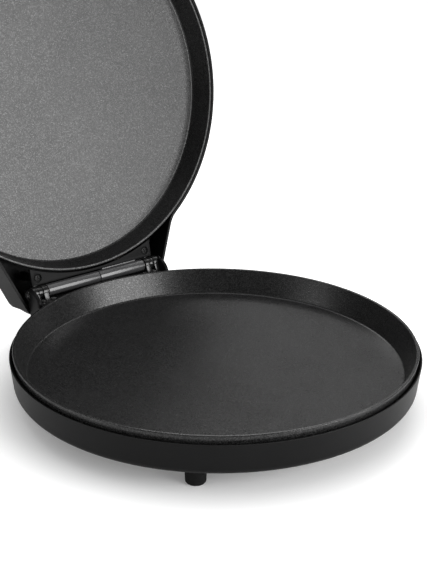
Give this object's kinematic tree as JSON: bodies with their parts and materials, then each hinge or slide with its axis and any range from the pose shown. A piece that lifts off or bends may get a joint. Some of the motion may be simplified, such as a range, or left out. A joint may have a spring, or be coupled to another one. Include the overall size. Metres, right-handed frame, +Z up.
{
  "type": "electric pizza maker",
  "caption": "Round electric pizza maker: two shallow non-stick pans in black plastic shells, hinged at the rear so the domed lid tips back past upright, with a front handle.",
  "frame": {"origin": "middle of the overall box in plan, at table height, with the lid open on its stop", "axes": "+X along the hinge rod to the object's right, +Y to the rear where the hinge is, +Z up"},
  "size_m": [0.3354, 0.4414, 0.4199],
  "materials": {
    "shell_plastic": "moulded black plastic with a fine satin texture",
    "hinge_plastic": "smooth dark grey plastic",
    "handle_plastic": "black plastic, satin",
    "pan_coating": "cast aluminium under a speckled dark grey non-stick coating",
    "bright_steel": "zinc-plated steel",
    "sheet_steel": "plain sheet steel",
    "black_steel": "steel with glossy black paint",
    "element_steel": "heat-darkened steel sheath",
    "reflector_aluminium": "bright aluminium sheet",
    "ceramic": "unglazed ceramic",
    "wire_insulation": "red sleeved wire",
    "foot_rubber": "black rubber",
    "red_lens": "clear red plastic",
    "green_lens": "clear green plastic"
  },
  "bodies": {
    "base": {"base_shell": "shell_plastic", "bottom_cover": "sheet_steel", "bottom_cover_screws": "bright_steel", "lower_pan": "pan_coating", "lower_pan_screws": "bright_steel", "lower_element": "element_steel", "lower_element_pins": "bright_steel", "lower_element_clips": "sheet_steel", "lower_clip_screws": "bright_steel", "lower_reflector": "reflector_aluminium", "lower_thermostat": "ceramic", "lower_thermostat_bracket": "sheet_steel", "thermal_cutout": "ceramic", "terminal_block": "ceramic", "terminal_screws": "bright_steel", "base_wiring": "wire_insulation", "cord_gland": "handle_plastic", "gland_nut": "handle_plastic", "foot_front_left": "foot_rubber", "foot_front_right": "foot_rubber", "foot_rear_left": "foot_rubber", "foot_rear_right": "foot_rubber", "foot_screws": "bright_steel", "hinge_plate": "black_steel", "hinge_plate_screws": "bright_steel", "hinge_rod": "bright_steel", "rod_push_nuts": "black_steel", "thrust_washers": "bright_steel", "left_barrel": "hinge_plastic"},
    "lid": {"lid_shell": "shell_plastic", "lid_hinge_cover": "hinge_plastic", "lid_hinge_screws": "black_steel", "hinge_strap_left": "black_steel", "hinge_strap_right": "black_steel", "right_barrel": "hinge_plastic", "upper_pan": "pan_coating", "upper_pan_screws": "bright_steel", "screw_plugs": "handle_plastic", "upper_element": "element_steel", "upper_element_pins": "bright_steel", "upper_element_clips": "sheet_steel", "upper_clip_screws": "bright_steel", "upper_reflector": "reflector_aluminium", "upper_thermostat": "ceramic", "upper_thermostat_bracket": "sheet_steel", "lid_wiring": "wire_insulation", "lid_connector": "ceramic", "lid_handle": "handle_plastic", "handle_screws": "bright_steel", "power_lens": "red_lens", "ready_lens": "green_lens", "lamp_holders": "ceramic"}
  },
  "joints": [
    {"name": "lid_hinge", "type": "hinge", "parent": "base", "child": "lid", "pos_m": [0, 0.12235, 0.0487], "axis": [1, 0, 0], "range_deg": [0, 101.75]}
  ]
}
